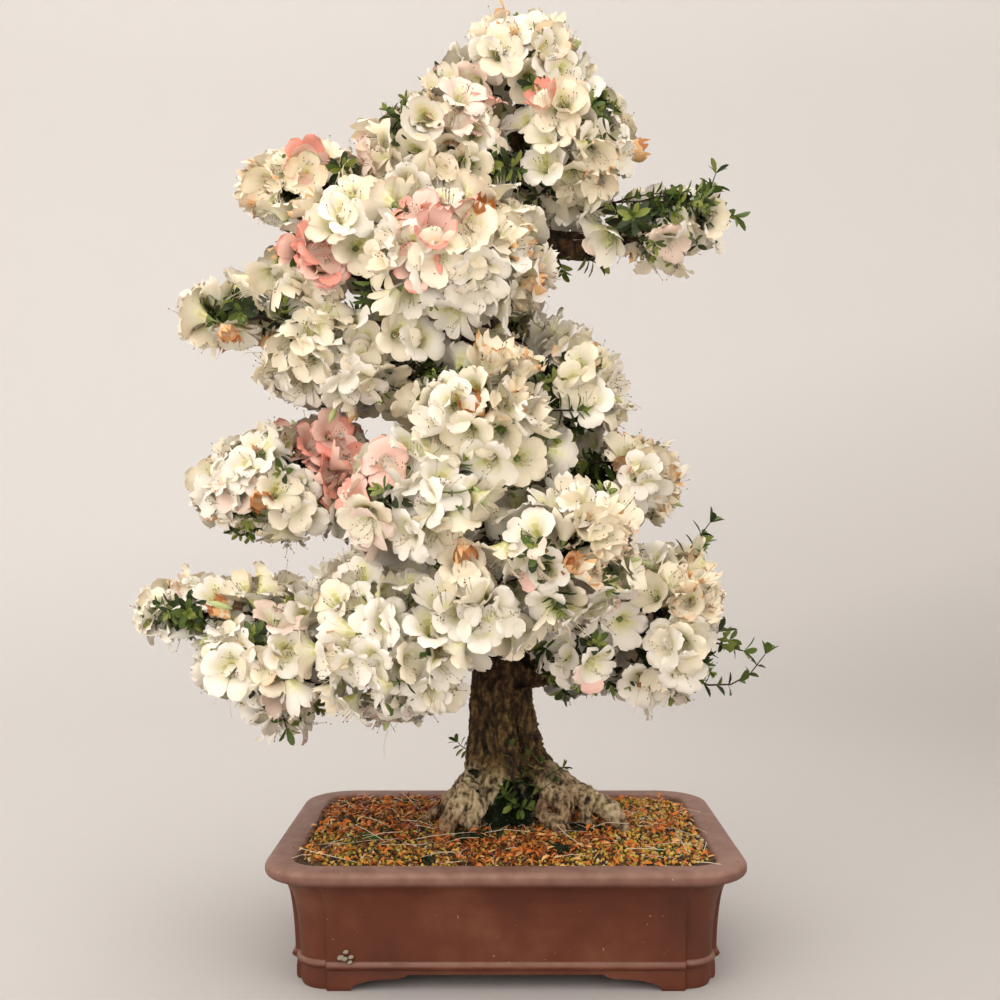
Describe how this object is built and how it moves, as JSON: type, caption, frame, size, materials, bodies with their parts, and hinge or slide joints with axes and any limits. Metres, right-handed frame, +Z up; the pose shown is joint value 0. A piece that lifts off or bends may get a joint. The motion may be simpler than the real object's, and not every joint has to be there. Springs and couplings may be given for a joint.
{
  "type": "azalea bonsai",
  "caption": "Pyramidal azalea bonsai in full pale blossom, with tiered foliage masses on a tapering rooted trunk, in a low rectangular clay pot with a flared lip and cloud feet",
  "frame": {"origin": "on the surface the pot's feet stand on, under the middle of the plant's box", "axes": "+Z up along the trunk, -Y is the front of the tree, +X to the right seen from the front"},
  "size_m": [0.685, 0.4494, 1.0159],
  "materials": {
    "clay": "matte unglazed clay",
    "soil": "granular",
    "bark": "rough bark",
    "foliage": "soft petals and leaves"
  },
  "bodies": {
    "root": {"bough_back_upper_mid": "bark", "bough_big_front": "bark", "bough_big_left": "bark", "bough_far_left_tip": "bark", "bough_high_left_under": "bark", "bough_low_back_left": "bark", "bough_low_back_right": "bark", "bough_low_front": "bark", "bough_low_left_inner": "bark", "bough_low_left_outer": "bark", "bough_low_left_tip": "bark", "bough_low_mid_right": "bark", "bough_low_right": "bark", "bough_low_right_under": "bark", "bough_mid_back": "bark", "bough_mid_front_high": "bark", "bough_mid_front_low": "bark", "bough_mid_left": "bark", "bough_mid_right": "bark", "bough_right_shoulder": "bark", "bough_top_back": "bark", "bough_top_front_left": "bark", "bough_top_left_arm": "bark", "bough_top_right": "bark", "bough_top_right_arm": "bark", "mass_apex": "foliage", "mass_back_upper_mid": "foliage", "mass_big_front": "foliage", "mass_big_left": "foliage", "mass_far_left_tip": "foliage", "mass_high_left_under": "foliage", "mass_low_back_left": "foliage", "mass_low_back_right": "foliage", "mass_low_front": "foliage", "mass_low_left_inner": "foliage", "mass_low_left_outer": "foliage", "mass_low_left_tip": "foliage", "mass_low_mid_right": "foliage", "mass_low_right": "foliage", "mass_low_right_under": "foliage", "mass_mid_back": "foliage", "mass_mid_front_high": "foliage", "mass_mid_front_low": "foliage", "mass_mid_left": "foliage", "mass_mid_right": "foliage", "mass_right_shoulder": "foliage", "mass_top_back": "foliage", "mass_top_front_left": "foliage", "mass_top_left_arm": "foliage", "mass_top_right": "foliage", "mass_top_right_arm": "foliage", "pot": "clay", "soil": "soil", "trunk": "bark"}
  },
  "joints": []
}
